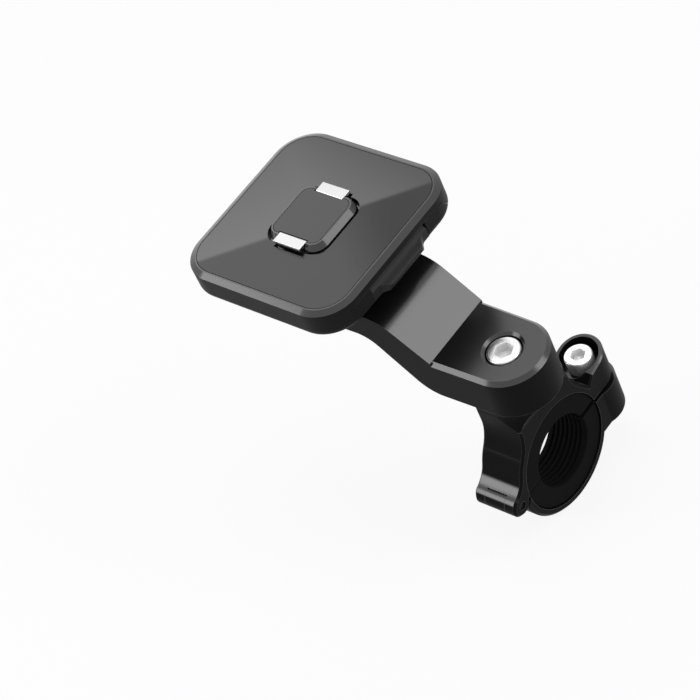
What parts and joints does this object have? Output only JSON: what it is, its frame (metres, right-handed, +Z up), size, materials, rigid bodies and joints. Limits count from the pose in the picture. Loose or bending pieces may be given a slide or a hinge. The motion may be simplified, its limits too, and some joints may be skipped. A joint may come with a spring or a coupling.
{
  "type": "bicycle phone mount",
  "caption": "Handlebar phone mount: hinged clamp, swivelling S-shaped arm and square magnetic head with spring latch tabs and a release button.",
  "frame": {"origin": "centre of the handlebar clamp's bore", "axes": "+X along the handlebar to the rider's right, +Y forward, +Z up along the pivot bolt; the head stands to the left, above the bar"},
  "size_m": [0.101, 0.0621, 0.0953],
  "materials": {
    "black_metal": "satin anodised black",
    "steel": "bright stainless",
    "liner_rubber": "matt black",
    "washer_plastic": "matt black",
    "shell_plastic": "satin black",
    "pad": "dark grey, semi-gloss",
    "inner_plastic": "dark grey",
    "tab_metal": "bright plated",
    "spring_steel": "plain",
    "magnet": "nickel plated"
  },
  "bodies": {
    "clamp": {"upper_jaw": "black_metal", "liner_upper": "liner_rubber", "hinge_pin": "steel", "pivot_bolt": "steel", "swivel_washer": "washer_plastic"},
    "lower_jaw": {"lower_jaw": "black_metal", "liner_lower": "liner_rubber"},
    "clamp_screw": {"clamp_bolt": "steel"},
    "head_arm": {"arm": "black_metal", "arm_screws": "steel", "head_housing": "shell_plastic", "back_cover": "shell_plastic", "cover_screws": "steel", "top_pad": "pad", "pedestal_cap": "pad", "anchor_plate": "steel", "magnets": "magnet", "latch_spring_front": "spring_steel", "latch_spring_rear": "spring_steel"},
    "release": {"release_button": "shell_plastic", "cam_slide": "inner_plastic"},
    "latch_front": {"latch_front": "tab_metal"},
    "latch_rear": {"latch_rear": "tab_metal"}
  },
  "joints": [
    {"name": "lower_jaw_hinge", "type": "hinge", "parent": "clamp", "child": "lower_jaw", "pos_m": [0, -0.0213, 0], "axis": [-1, 0, 0], "range_deg": [0, 3]},
    {"name": "clamp_screw_slide", "type": "slide", "parent": "lower_jaw", "child": "clamp_screw", "axis": [0, 0, 1], "range_m": [0, 0.0026]},
    {"name": "arm_swivel", "type": "hinge", "parent": "clamp", "child": "head_arm", "pos_m": [0, 0, 0.035], "axis": [0, 0, 1], "continuous": true},
    {"name": "button_slide", "type": "slide", "parent": "head_arm", "child": "release", "axis": [-1, 0, 0], "range_m": [0, 0.003], "stiffness_N_per_m": 900, "springref_m": -0.002},
    {"name": "latch_front_slide", "type": "slide", "parent": "head_arm", "child": "latch_front", "axis": [0, -0.7071, -0.7071], "range_m": [0, 0.00255], "deforming": ["latch_spring_front"]},
    {"name": "latch_rear_slide", "type": "slide", "parent": "head_arm", "child": "latch_rear", "axis": [0, 0.7071, -0.7071], "range_m": [0, 0.00255], "deforming": ["latch_spring_rear"]}
  ],
  "couplings": [
    {"joint": "clamp_screw_slide", "follows": "lower_jaw_hinge", "m_per_rad": 0.04945},
    {"joint": "latch_front_slide", "follows": "button_slide", "ratio": 0.84853},
    {"joint": "latch_rear_slide", "follows": "button_slide", "ratio": 0.84853}
  ]
}
